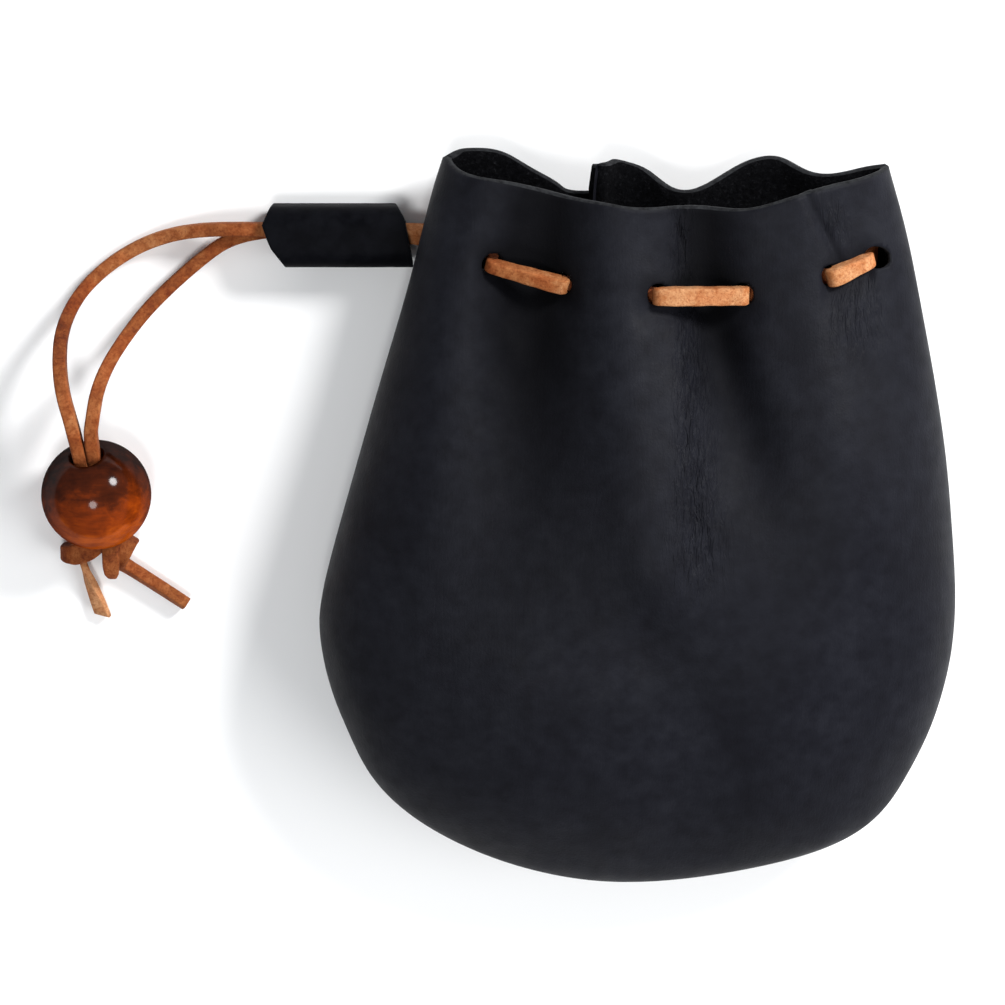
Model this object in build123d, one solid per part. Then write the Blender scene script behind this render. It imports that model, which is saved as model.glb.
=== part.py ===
from build123d import *
from functools import lru_cache
import math
import os

import numpy as np

# A drawstring bag of soft leather, laid on its back. The floor is z = 0, +Y points to the mouth and
# +Z up through the front panel. The origin is on the floor under the middle of the bag. Millimetres.

LEATHER = 1.6  # thickness of the two panels
SEAM_Z = 11.0  # height of the side seam above the floor
SEAM_GAP = 0.3  # between the two turned-in allowances
ALLOWANCE = 3.0  # width of the leather turned in along the seam
TUCK = 0.6  # how far inside the bag's edge the turned-in leather starts, within the panel's own wall
THREAD_D = 0.8
TOE_Y = -60.55  # closed end of the bag
PAST_MOUTH = 66.0  # the panels are made this long and then cut along the rim
BACK_RIM = (60.6, 6.4)  # y and z where the rim crosses the middle of the back panel
FRONT_RIM = (55.6, 24.0)  # and of the front panel

LACE_D = 2.9  # round tube of the same section as a flat lace of 3.2 by 2.1
LACE_GAP = 0.25  # between the lace and the leather that it lies along
HOLE_D = 4.4
BEAD_D = 18.0
BEAD_HOLE_D = 6.3
BEAD_CENTRE = Vector(-88.5, 3.8, BEAD_D / 2)
BEAD_LIFT = 27.5  # degrees that the hole's axis rises from the floor
BEAD_LEAN = 9.0  # degrees that it turns from +Y towards -X
STRAND_STEP = 1.5  # from the middle of the hole to each strand's middle
KNOT_R = 3.0
SLIDER_LENGTH = 23.6
SLIDER_WIDTH = 10.1
SLIDER_HEIGHT = 9.4
SLIDER_WALL = 1.3
SLIDER_ROUND = 3.4  # outer corner radius of its section
SLIDER_END = Vector(-37.5, 46.1, SLIDER_HEIGHT / 2)  # on its axis, at the end beside the bag
SLIDER_CLIPS = [(-1, 1, 1.5, 3.6), (-1, -1, 3.8, 2.8), (1, 1, 1.8, 3.0)]  # end, side, size along x, along y

# The bag's edge seen from above, mouth to toe, as x and y.
LEFT_EDGE = [(-30.2, PAST_MOUTH), (-36.7, 42), (-44.1, 16), (-51.2, -9), (-48.2, -32), (-33, -50.5), (-16, -58.2)]
RIGHT_EDGE = [(39.6, PAST_MOUTH), (44.4, 39), (50.4, 6), (51.8, -13), (47, -37.2), (36, -52.4), (20, -58.7)]
TOE_X = 2.0
# Its outline seen from the side, mouth to toe, as y and z. The base dips a little under the floor,
# which then cuts it flat.
TOP_LINE = [(PAST_MOUTH, 23.6), (42, 24.5), (14, 31), (-12, 34.5), (-36, 30.5), (-53, 21)]
BASE_LINE = [(PAST_MOUTH, 6.4), (46, 6.5), (32, 5), (14, 1), (-4, -0.25), (-24, -0.25), (-42, 0.6), (-54, 3.6)]
EDGE_POINTS = 161  # taken along each of these four lines
STATIONS = 13
SECTION_POINTS = 28
CROWN_POWER = 2.3  # of the superellipse across the front panel
BASE_POWER = 2.7  # of the flatter one across the back panel

# Where the lace goes through the panels, left to right, as x and y.
FRONT_HOLES = [(-24.6, 43.6), (-10.4, 41.3), (1.9, 40.3), (18.7, 40.3), (30.0, 42.0), (40.2, 44.7)]
BACK_HOLES = [(-26.8, 45.0), (-12.0, 44.6), (-2.0, 44.4), (12.0, 44.4), (21.0, 44.6), (33.0, 45.0)]


# ---- the bag's form

def edge_line(points, end, end_tangent):
    start_tangent = Vector(*points[1]) - Vector(*points[0])
    return Spline(*points, end, tangents=[start_tangent, end_tangent])


EDGES = {
    "left": (edge_line(LEFT_EDGE, (TOE_X, TOE_Y), (1, 0)), 1),
    "right": (edge_line(RIGHT_EDGE, (TOE_X, TOE_Y), (-1, 0)), -1),
    "top": (edge_line(TOP_LINE, (TOE_Y, SEAM_Z), (0, -1)), 1),
    "base": (edge_line(BASE_LINE, (TOE_Y, SEAM_Z), (0, 1)), -1),
}


@lru_cache(maxsize=None)
def inset_points(name, inset):
    """Points from toe to mouth along one of the four edge lines, moved inwards by inset."""
    line, side = EDGES[name]
    moved = []
    for t in np.linspace(1, 0, EDGE_POINTS):
        along = (line % t).normalized()
        moved.append(line @ t + Vector(-along.Y, along.X) * (inset * side))
    return moved


def extent(y, inset):
    """The bag's section at y: its least and greatest x, and its lowest and highest z."""
    found = []
    for name in ("left", "right"):
        line = inset_points(name, inset)
        found.append(float(np.interp(y, [p.Y for p in line], [p.X for p in line])))
    for name in ("base", "top"):
        line = inset_points(name, inset)
        found.append(float(np.interp(y, [p.X for p in line], [p.Y for p in line])))
    return found


def section(y, inset):
    x_low, x_high, z_low, z_high = extent(y, inset)
    points = []
    for turn in np.linspace(0, 2 * math.pi, SECTION_POINTS, endpoint=False):
        c, s = math.cos(turn), math.sin(turn)
        power = CROWN_POWER if s >= 0 else BASE_POWER
        height = z_high - SEAM_Z if s >= 0 else SEAM_Z - z_low
        x = (x_low + x_high) / 2 + (x_high - x_low) / 2 * math.copysign(abs(c) ** (2 / power), c)
        z = SEAM_Z + height * math.copysign(abs(s) ** (2 / power), s)
        points.append((x, y, z))
    return Face(Wire(Spline(*points, periodic=True)))


def bag_body(inset):
    """The bag's outside moved in by inset, as a solid that runs past the mouth."""
    first = TOE_Y + inset + 0.2
    steps = [(k / (STATIONS - 1)) ** 1.9 for k in range(STATIONS)]
    return loft([section(first + (PAST_MOUTH - first) * f, inset) for f in steps])


def surface_z(x, y, front, inset=0.0):
    """Height of the front or back panel's outside, or of the surface inset from it."""
    x_low, x_high, z_low, z_high = extent(y, inset)
    u = min(1.0, abs(2 * (x - x_low) / (x_high - x_low) - 1))
    if front:
        return SEAM_Z + (z_high - SEAM_Z) * (1 - u**CROWN_POWER) ** (1 / CROWN_POWER)
    return SEAM_Z - (SEAM_Z - z_low) * (1 - u**BASE_POWER) ** (1 / BASE_POWER)


def slab(low, high):
    size = 200
    return Pos(0, 0, (low + high) / 2) * Box(size, size, high - low)


def rim_cutter():
    """Everything past the rim, which leans back from the back panel to the front panel."""
    (y0, z0), (y1, z1) = BACK_RIM, FRONT_RIM
    slope = (y1 - y0) / (z1 - z0)
    low, high, far = -30, 60, 100
    near = [(y0 + slope * (z - z0), z) for z in (low, high)]
    profile = make_face(Polyline(near[0], (far, low), (far, high), near[1], close=True))
    return extrude(Plane.YZ * profile, amount=far, both=True)


# ---- the two panels and the seam

def plan_face(inset):
    """The bag seen from above, moved in by inset, as a flat face at z = 0."""
    stride = 8
    sides = []
    for name in ("left", "right"):
        points = inset_points(name, inset)[::stride]
        points[0] = Vector(TOE_X, TOE_Y + inset)
        sides.append(Spline(*[(p.X, p.Y) for p in points]))
    left, right = sides
    return make_face([left, right, Line(left @ 1, right @ 1)])


def allowance(low):
    """The leather turned in along the seam, from z = low up."""
    ring = plan_face(TUCK) - plan_face(LEATHER + ALLOWANCE)
    return Pos(0, 0, low) * extrude(ring, amount=LEATHER)


def lace_hole(x, y, front):
    """A punched hole square to the panel at x, y."""
    step = 0.5
    z = surface_z(x, y, front)
    slope_x = (surface_z(x + step, y, front) - surface_z(x - step, y, front)) / (2 * step)
    slope_y = (surface_z(x, y + step, front) - surface_z(x, y - step, front)) / (2 * step)
    square = Plane(origin=(x, y, z), z_dir=(-slope_x, -slope_y, 1))
    return square * Cylinder(HOLE_D / 2, 4 * LEATHER)


def panel(shell, front):
    if front:
        part = shell & slab(SEAM_Z + SEAM_GAP / 2, 60)
        part += allowance(SEAM_Z + SEAM_GAP / 2)
        part -= rim_cutter()
        for x, y in FRONT_HOLES:
            part -= lace_hole(x, y, True)
    else:
        part = shell & slab(0, SEAM_Z - SEAM_GAP / 2)
        part += allowance(SEAM_Z - SEAM_GAP / 2 - LEATHER)
        part -= rim_cutter()
        for x, y in BACK_HOLES:
            part -= lace_hole(x, y, False)
    return part


def seam_thread():
    """The sewing thread along the seam, pulled into both allowances, as one line of thread."""
    inset = LEATHER + 0.5 * ALLOWANCE
    last_y = 58.5  # just short of the mouth
    stride = 12
    sides = []
    for name in ("left", "right"):
        line = inset_points(name, inset)[::stride]
        sides.append([(p.X, p.Y, SEAM_Z) for p in line if p.Y < last_y])
    left, right = sides
    return swept_tube(left[:0:-1] + right, THREAD_D)


# ---- the lace

def corner_radii(points):
    """Largest tangent arc at each inner point: 0.45 of the shorter run over the tangent of half the turn."""
    radii, turns = [], []
    places = [Vector(*p) for p in points]
    for before, here, after in zip(places, places[1:], places[2:]):
        run_in, run_out = here - before, after - here
        turn = run_in.get_angle(run_out)
        turns.append(turn)
        radii.append(0.45 * min(run_in.length, run_out.length) / math.tan(math.radians(turn) / 2))
    return radii, turns


def swept_tube(points, diameter):
    radii, _ = corner_radii(points)
    path = FilletPolyline(*points, radius=radii)
    start = Plane(origin=path @ 0, z_dir=path % 0)
    return sweep(start * Circle(diameter / 2), path=path)


def lace(name, points):
    tube = swept_tube(points, LACE_D)
    radii, turns = corner_radii(points)
    length = FilletPolyline(*points, radius=radii).length
    by_hand = math.pi * LACE_D**2 / 4 * length
    print(name, "length", round(length, 1), "volume", round(tube.volume, 1), "section x length", round(by_hand, 1))
    print("  radii", [round(r, 1) for r in radii])
    print("  turns", [round(t) for t in turns])
    print("  runs", [round((Vector(*b) - Vector(*a)).length, 1) for a, b in zip(points, points[1:])])
    return tube


def outside(x, y, front):
    side = 1 if front else -1
    return (x, y, surface_z(x, y, front) + side * (LACE_D / 2 + LACE_GAP))


def inside(x, y, front):
    side = -1 if front else 1
    return (x, y, surface_z(x, y, front, LEATHER) + side * (LACE_D / 2 + LACE_GAP))


def woven_points():
    """Through the first hole of the back, in and out round the mouth, and out of the back's second hole."""
    reach = 2.2  # the lace is clear of the leather this far each side of a hole
    f, b = FRONT_HOLES, BACK_HOLES
    points = [(b[0][0], b[0][1], surface_z(*b[0], False)), (-24.4, 44.8, 11.0), (-25.8, 44.2, 16.0)]
    for k in (0, 2, 4):  # each stitch on the front
        (x0, y0), (x1, y1) = f[k], f[k + 1]
        if k:
            points.append(inside(x0 - reach, y0, True))
        points.append(outside(x0 + reach, y0, True))
        points.append(outside(x1 - reach, y1, True))
        if k < 4:
            points.append(inside(x1 + reach, y1, True))
    points += [(40.9, 44.7, 20.9), (41.6, 44.7, 17.6), (37.6, 44.8, 14.2)]  # round and in through the last hole
    for k in (5, 3):  # each stitch on the back
        (x0, y0), (x1, y1) = b[k], b[k - 1]
        points.append(inside(x0 + reach, y0, False))
        points.append(outside(x0 - reach, y0, False))
        points.append(outside(x1 + reach, y1, False))
        points.append(inside(x1 - reach, y1, False))
    points.append(inside(b[1][0] + 2 * reach, b[1][1], False))
    points.append((b[1][0], b[1][1], surface_z(*b[1], False)))
    return points


BEAD_AXIS = Vector(
    -math.sin(math.radians(BEAD_LEAN)) * math.cos(math.radians(BEAD_LIFT)),
    math.cos(math.radians(BEAD_LEAN)) * math.cos(math.radians(BEAD_LIFT)),
    math.sin(math.radians(BEAD_LIFT)),
)
BEAD_ACROSS = Vector(math.cos(math.radians(BEAD_LEAN)), math.sin(math.radians(BEAD_LEAN)), 0)


def in_bead(along, across):
    """A point of the bead's hole, along its axis from the middle, and across it."""
    place = BEAD_CENTRE + BEAD_AXIS * along + BEAD_ACROSS * across
    return (place.X, place.Y, place.Z)


KNOT_A = (-90.7, -7.2, 3.2)
KNOT_B = (-84.5, -7.5, 3.2)
TAIL_A = (-87.2, -17.7, 1.5)
TAIL_B = (-73.7, -16.1, 1.5)
PAST_BEAD = 11.0  # along the bead's axis, to where the strands start to bend down
UNDER_BEAD = -8.6  # and to where they turn to their knots
STRAND_A = [
    (BACK_HOLES[0][0], BACK_HOLES[0][1], surface_z(*BACK_HOLES[0], False)),
    (-30.2, 45.6, 5.1),
    (-37.6, 46.8, 6.4),
    (-51.0, 47.1, 6.35),
    (-63.5, 47.4, 6.2),
    (-72.8, 47.1, 3.6),
    (-79.4, 45.6, 1.5),
    (-85.4, 42.9, 1.5),
    (-90.1, 39.2, 2.6),
    (-93.2, 35.2, 5.0),
    (-94.8, 30.6, 8.3),
    (-94.7, 25.9, 11.7),
    (-93.9, 21.5, 14.1),
    (-92.7, 17.4, 15.1),
    in_bead(PAST_BEAD, -STRAND_STEP),
    in_bead(UNDER_BEAD, -STRAND_STEP),
    KNOT_A,
]
STRAND_B = [
    (BACK_HOLES[1][0], BACK_HOLES[1][1], surface_z(*BACK_HOLES[1], False)),
    (-15.8, 44.9, 3.2),
    (-23.0, 45.5, 1.5),
    (-31.8, 46.3, 2.0),
    (-38.8, 46.8, 3.2),
    (-50.0, 47.0, 3.15),
    (-59.5, 46.8, 3.1),
    (-66.5, 45.4, 3.1),
    (-71.8, 41.6, 1.9),
    (-77.0, 37.2, 2.3),
    (-80.9, 33.6, 4.6),
    (-84.3, 29.9, 8.0),
    (-86.9, 26.2, 11.3),
    (-88.4, 22.2, 14.0),
    (-88.9, 18.0, 15.1),
    in_bead(PAST_BEAD, STRAND_STEP),
    in_bead(UNDER_BEAD, STRAND_STEP),
    KNOT_B,
]


def knot(centre, tail_end):
    """An overhand knot, as a ball with the cut end of the lace standing out of it."""
    start, end = Vector(*centre), Vector(*tail_end)
    tail = Plane(origin=start, z_dir=end - start) * Cylinder(
        LACE_D / 2, (end - start).length, align=(Align.CENTER, Align.CENTER, Align.MIN)
    )
    ball = Pos(start) * Sphere(KNOT_R)
    return ball + (tail & slab(0, 60))


# ---- bead and slider

def bead():
    ball = Sphere(BEAD_D / 2) - Cylinder(BEAD_HOLE_D / 2, BEAD_D * 1.2)
    mouths = ball.edges().filter_by(GeomType.CIRCLE)
    eased = fillet(mouths, 0.5)
    return Plane(origin=BEAD_CENTRE, x_dir=BEAD_ACROSS, z_dir=BEAD_AXIS) * eased


def slider():
    """A strip of leather wrapped round both strands, with three of its corners clipped."""
    outer = RectangleRounded(SLIDER_WIDTH, SLIDER_HEIGHT, SLIDER_ROUND)
    inner = RectangleRounded(
        SLIDER_WIDTH - 2 * SLIDER_WALL, SLIDER_HEIGHT - 2 * SLIDER_WALL, SLIDER_ROUND - SLIDER_WALL
    )
    end = Plane(origin=SLIDER_END, x_dir=(0, 1, 0), z_dir=(-1, 0, 0))
    tube = extrude(end * (outer - inner), amount=SLIDER_LENGTH)
    middle = SLIDER_END - Vector(SLIDER_LENGTH / 2, 0, 0)
    for end_side, side, along, across in SLIDER_CLIPS:
        x = middle.X + end_side * SLIDER_LENGTH / 2
        y = middle.Y + side * SLIDER_WIDTH / 2
        corner = make_face(Polyline((x, y), (x - end_side * along, y), (x, y - side * across), close=True))
        tube -= extrude(corner, amount=3 * SLIDER_HEIGHT, both=True)
    return tube


def main():
    os.makedirs("parts", exist_ok=True)
    shell = bag_body(0) - bag_body(LEATHER)
    nodes = {
        "front_panel": panel(shell, True),
        "back_panel": panel(shell, False),
        "seam_thread": seam_thread(),
        "lace_woven": lace("lace_woven", woven_points()),
        "strand_a": lace("strand_a", STRAND_A),
        "strand_b": lace("strand_b", STRAND_B),
        "knot_a": knot(KNOT_A, TAIL_A),
        "knot_b": knot(KNOT_B, TAIL_B),
        "bead": bead(),
        "slider": slider(),
    }
    for name, shape in nodes.items():
        export_step(shape, f"parts/{name}.step")


main()
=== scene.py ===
import math

import bmesh
import bpy
import numpy as np
from mathutils import Matrix, Vector


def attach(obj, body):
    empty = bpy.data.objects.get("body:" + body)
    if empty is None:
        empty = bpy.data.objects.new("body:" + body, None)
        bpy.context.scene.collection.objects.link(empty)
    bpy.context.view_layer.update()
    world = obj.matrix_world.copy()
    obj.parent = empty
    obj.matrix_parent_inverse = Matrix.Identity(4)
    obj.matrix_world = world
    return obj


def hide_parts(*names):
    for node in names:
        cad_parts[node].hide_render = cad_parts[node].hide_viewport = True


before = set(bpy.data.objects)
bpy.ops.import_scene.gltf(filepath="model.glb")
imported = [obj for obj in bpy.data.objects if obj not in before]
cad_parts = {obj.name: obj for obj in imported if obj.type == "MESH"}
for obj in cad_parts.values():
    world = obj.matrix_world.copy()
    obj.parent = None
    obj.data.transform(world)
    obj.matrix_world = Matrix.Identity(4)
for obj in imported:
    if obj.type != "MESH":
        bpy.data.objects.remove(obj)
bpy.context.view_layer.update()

# Lengths are in millimetres until a mesh is made, which is in metres.
MM = 0.001

LEATHER = 1.6
SEAM_Z = 11.0
TOE_Y = -60.95  # the closed end
LIP = 1.9  # outer radius of each panel's turned edge at the seam
SEAM_PRESS = 0.06  # each turned edge is pressed this far past the seam's plane, so it shuts out light
ALLOWANCE = 4.0  # of leather turned inside the seam
LACE_W, LACE_T = 3.2, 2.15
CROWN_POWER, BASE_POWER = 2.3, 2.7  # of the superellipses across the front and the back
BEAD_C = Vector((-88.5, 3.8, 9.0))
BEAD_R, BEAD_HOLE_R = 9.0, 2.65
BEAD_LIFT, BEAD_LEAN = math.radians(27.5), math.radians(9)
BEAD_AXIS = Vector((
    -math.sin(BEAD_LEAN) * math.cos(BEAD_LIFT),
    math.cos(BEAD_LEAN) * math.cos(BEAD_LIFT),
    math.sin(BEAD_LIFT),
))
BEAD_ACROSS = Vector((math.cos(BEAD_LEAN), math.sin(BEAD_LEAN), 0))


# ---------------------------------------------------------------- camera, light and floor

def aim(obj, target):
    obj.rotation_euler = (Vector(target) - obj.location).to_track_quat("-Z", "Y").to_euler()


def make_camera():
    """Almost straight down on the bag, leaning towards its mouth."""
    distance, lean = 0.75, math.radians(12)
    target = Vector((-21.9, 2.9, SEAM_Z)) * MM
    back = Vector((0, math.sin(lean), math.cos(lean)))
    up = Vector((0, math.cos(lean), -math.sin(lean)))
    camera = bpy.data.objects.new("camera", bpy.data.cameras.new("camera"))
    bpy.context.scene.collection.objects.link(camera)
    camera.location = target + back * distance
    camera.rotation_euler = Matrix((up.cross(back), up, back)).transposed().to_euler()
    camera.data.sensor_width = 36
    field = 0.1644  # width of the floor that the frame takes in
    camera.data.lens = camera.data.sensor_width * distance / field
    camera.data.clip_start, camera.data.clip_end = 0.05, 10
    bpy.context.scene.camera = camera


def area_light(name, place, target, size, power, glints=True):
    """A round soft light. Without glints it lights the object but doesn't mirror in it."""
    light = bpy.data.objects.new(name, bpy.data.lights.new(name, "AREA"))
    bpy.context.scene.collection.objects.link(light)
    light.data.shape = "DISK"
    light.data.size = size
    light.data.energy = power
    light.visible_glossy = glints
    light.location = place
    aim(light, target)


def make_studio():
    area_light("key", (0.50, 0.54, 0.53), (0, 0, 0), 0.25, 9.2)
    area_light("side", (1.42, -0.50, 0.66), (0.02, 0, 0.01), 1.7, 34.0, glints=False)
    area_light("top", (-0.13, -0.19, 1.12), (-0.02, 0, 0), 0.30, 5.0)
    world = bpy.data.worlds.new("studio")
    world.use_nodes = True
    sky = world.node_tree.nodes["Background"].inputs
    sky["Color"].default_value = (0.9, 0.95, 1.0, 1)
    sky["Strength"].default_value = 0.34
    bpy.context.scene.world = world
    bpy.context.scene.view_settings.view_transform = "Standard"
    half = 1.5
    corners = [(-half, -half, 0), (half, -half, 0), (half, half, 0), (-half, half, 0)]
    mesh = bpy.data.meshes.new("floor")
    mesh.from_pydata(corners, [], [(0, 1, 2, 3)])
    floor = bpy.data.objects.new("floor", mesh)
    bpy.context.scene.collection.objects.link(floor)
    paper = Shader("floor_paper", (0.93, 0.93, 0.93), 0.9, 0.0)
    mesh.materials.append(paper.material)


# ---------------------------------------------------------------- shader helper

class Shader:
    """A Principled material, with short ways to add and link nodes."""

    def __init__(self, name, colour, roughness, specular=0.5):
        self.material = bpy.data.materials.new(name)
        self.material.use_nodes = True
        self.tree = self.material.node_tree
        self.bsdf = self.tree.nodes["Principled BSDF"]
        self.set("Base Color", colour)
        self.set("Roughness", roughness)
        self.set("Specular IOR Level", specular)
        self.at = self.place()

    def feed(self, socket, value):
        """Links another node's output to a socket, or gives the socket a number, a vector or a colour."""
        if isinstance(value, bpy.types.NodeSocket):
            self.tree.links.new(value, socket)
        elif socket.type == "RGBA":
            socket.default_value = (*value, 1)
        else:
            socket.default_value = value

    def set(self, socket, value):
        self.feed(self.bsdf.inputs[socket], value)

    def node(self, kind, inputs=None, **settings):
        node = self.tree.nodes.new(kind)
        for name, setting in settings.items():
            setattr(node, name, setting)
        for name, value in (inputs or {}).items():
            self.feed(node.inputs[name], value)
        return node

    def place(self, scale=(1, 1, 1), turn=(0, 0, 0)):
        """Object coordinates in millimetres, scaled and turned."""
        return self.node("ShaderNodeMapping", {
            "Vector": self.node("ShaderNodeTexCoord").outputs["Object"],
            "Scale": [s / MM for s in scale],
            "Rotation": turn,
        }).outputs["Vector"]

    def attribute(self, name):
        return self.node("ShaderNodeAttribute", attribute_name=name).outputs["Fac"]

    def noise(self, scale, detail=4.0, roughness=0.55, distortion=0.0, at=None):
        return self.node("ShaderNodeTexNoise", {
            "Vector": self.at if at is None else at,
            "Scale": scale,
            "Detail": detail,
            "Roughness": roughness,
            "Distortion": distortion,
        }).outputs["Fac"]

    def pebbles(self, scale):
        inputs = {"Vector": self.at, "Scale": scale}
        return self.node("ShaderNodeTexVoronoi", inputs, feature="DISTANCE_TO_EDGE").outputs["Distance"]

    def ramp(self, value, stops):
        node = self.node("ShaderNodeValToRGB", {"Fac": value})
        elements = node.color_ramp.elements
        while len(elements) < len(stops):
            elements.new(0.5)
        for element, (position, colour) in zip(elements, stops):
            element.position = position
            element.color = (*colour, 1)
        return node.outputs["Color"]

    def span(self, value, low, high, to_low=0.0, to_high=1.0):
        """Values from low to high spread over to_low to to_high, and clipped there."""
        return self.node("ShaderNodeMapRange", {
            "Value": value, "From Min": low, "From Max": high, "To Min": to_low, "To Max": to_high,
        }).outputs["Result"]

    def math(self, operation, a, b):
        return self.node("ShaderNodeMath", {0: a, 1: b}, operation=operation).outputs["Value"]

    def weigh(self, *parts):
        """The sum of values times their weights, from (value, weight) pairs."""
        scaled = [self.math("MULTIPLY", value, weight) for value, weight in parts]
        total = scaled[0]
        for part in scaled[1:]:
            total = self.math("ADD", total, part)
        return total

    def mix(self, factor, a, b, blend="MIX"):
        node = self.node("ShaderNodeMix", data_type="RGBA", blend_type=blend)
        sockets = {s.identifier: s for s in node.inputs}
        for name, value in (("Factor_Float", factor), ("A_Color", a), ("B_Color", b)):
            self.feed(sockets[name], value)
        return next(s for s in node.outputs if s.identifier == "Result_Color")

    def bump(self, height, distance_mm, strength=1.0, under=None):
        """The surface's normal raised by a height of 0 to 1, over the normal under it."""
        inputs = {"Height": height, "Distance": distance_mm * MM, "Strength": strength}
        if under is not None:
            inputs["Normal"] = under
        return self.node("ShaderNodeBump", inputs).outputs["Normal"]

    def finish(self, colour=None, roughness=None, normal=None):
        for socket, source in (("Base Color", colour), ("Roughness", roughness), ("Normal", normal)):
            if source is not None:
                self.set(socket, source)
        return self.material


# ---------------------------------------------------------------- materials

def grain_leather():
    """Blue-black pull-up leather: pebbled, blotched and finely creased, with painted shade darkening it down
    in the pleats, along the stitches and below the first pleat.
    """
    s = Shader("grain_leather", (0.008, 0.0085, 0.012), 0.6, 0.10)
    painted_shade = s.attribute("painted_shade")
    worn = s.math("MULTIPLY", s.noise(0.055, 5, 0.6, 0.4), s.noise(0.35, 4, 0.6))
    colour = s.ramp(worn, [
        (0.14, (0.0040, 0.0041, 0.0064)),
        (0.26, (0.0060, 0.0063, 0.0094)),
        (0.42, (0.0090, 0.0095, 0.0134)),
    ])
    # painted shade: the colour goes near black down in the pleats and along the stitches' grooves
    colour = s.mix(painted_shade, colour, (0.0014, 0.0014, 0.0021))
    roughness = s.span(s.noise(0.22, 5, 0.65), 0.3, 0.7, 0.50, 0.64)
    roughness = s.math("ADD", roughness, s.math("MULTIPLY", painted_shade, 0.35))
    crease = s.noise(1.0, 4, 0.6, 0.8, at=s.place(scale=(1.25, 0.16, 0.6)))
    fine = s.noise(0.9, 2, 0.5, 1.2, at=s.place(scale=(1.8, 0.36, 0.5)))
    wrinkle = s.math("MULTIPLY", s.span(fine, 0.3, 0.7), s.attribute("wrinkled"))
    normal = s.bump(wrinkle, 0.38, 0.8)
    normal = s.bump(s.span(crease, 0.35, 0.6), 0.05, 0.25, normal)
    normal = s.bump(s.pebbles(1.5), 0.06, 0.45, normal)
    normal = s.bump(s.noise(3.2, 3, 0.6), 0.05, 0.45, normal)
    return s.finish(colour, roughness, normal)


def flesh_leather():
    """The rough inner side of the same leather."""
    s = Shader("flesh_leather", (0.004, 0.004, 0.005), 0.95, 0.05)
    fibre = s.noise(1.6, 8, 0.75, 0.8)
    colour = s.ramp(fibre, [
        (0.42, (0.0010, 0.0010, 0.0014)),
        (0.58, (0.0035, 0.0036, 0.0044)),
        (0.72, (0.022, 0.022, 0.025)),
    ])
    return s.finish(colour, normal=s.bump(fibre, 0.5, 0.9))


def cut_edge():
    """The raw cut edge of the leather, greyer than its faces."""
    s = Shader("cut_edge", (0.02, 0.02, 0.022), 0.85, 0.12)
    fibre = s.noise(1.2, 6, 0.7)
    colour = s.ramp(fibre, [(0.35, (0.0045, 0.0045, 0.0055)), (0.6, (0.019, 0.020, 0.022))])
    return s.finish(colour, normal=s.bump(fibre, 0.15, 0.6))


def lace_leather():
    """Mottled tan lace with a nap. The mesh's tone is 0 where it is darkest and 1 where palest: the lace's
    own tone, with painted shade where it dives into holes and painted light where it lies in shade.
    """
    s = Shader("lace_leather", (0.24, 0.08, 0.026), 0.8, 0.15)
    mottle = s.noise(0.60, 6, 0.68, 0.5)
    shade = s.weigh((mottle, 0.85), (s.attribute("tone_with_painted_light"), 0.80))
    colour = s.ramp(s.math("SUBTRACT", shade, 0.33), [
        (0.06, (0.045, 0.013, 0.006)),
        (0.28, (0.125, 0.027, 0.007)),
        (0.46, (0.225, 0.064, 0.017)),
        (0.64, (0.335, 0.124, 0.043)),
        (0.82, (0.455, 0.220, 0.100)),
        (1.00, (0.600, 0.320, 0.160)),
    ])
    speck = s.ramp(s.noise(2.6, 3, 0.6), [(0.36, (0.60, 0.47, 0.42)), (0.50, (1, 1, 1))])
    colour = s.mix(0.7, colour, speck, "MULTIPLY")
    red = s.ramp(s.noise(0.22, 3, 0.5), [(0.45, (1, 1, 1)), (0.62, (0.98, 0.80, 0.70))])
    colour = s.mix(0.8, colour, red, "MULTIPLY")
    roughness = s.span(mottle, 0.3, 0.7, 0.72, 0.9)
    return s.finish(colour, roughness, s.bump(s.noise(4.5, 5, 0.7), 0.16, 0.7))


def slider_leather():
    """Plain black leather, smoother than the bag's."""
    s = Shader("slider_leather", (0.004, 0.004, 0.0055), 0.6, 0.025)
    cloud = s.noise(0.4, 4, 0.6)
    colour = s.ramp(cloud, [(0.35, (0.0016, 0.0017, 0.0026)), (0.65, (0.0036, 0.0038, 0.0052))])
    roughness = s.span(cloud, 0.3, 0.7, 0.5, 0.62)
    normal = s.bump(s.pebbles(1.9), 0.04, 0.4)
    normal = s.bump(s.noise(3.5, 3), 0.04, 0.4, normal)
    return s.finish(colour, roughness, normal)


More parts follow.
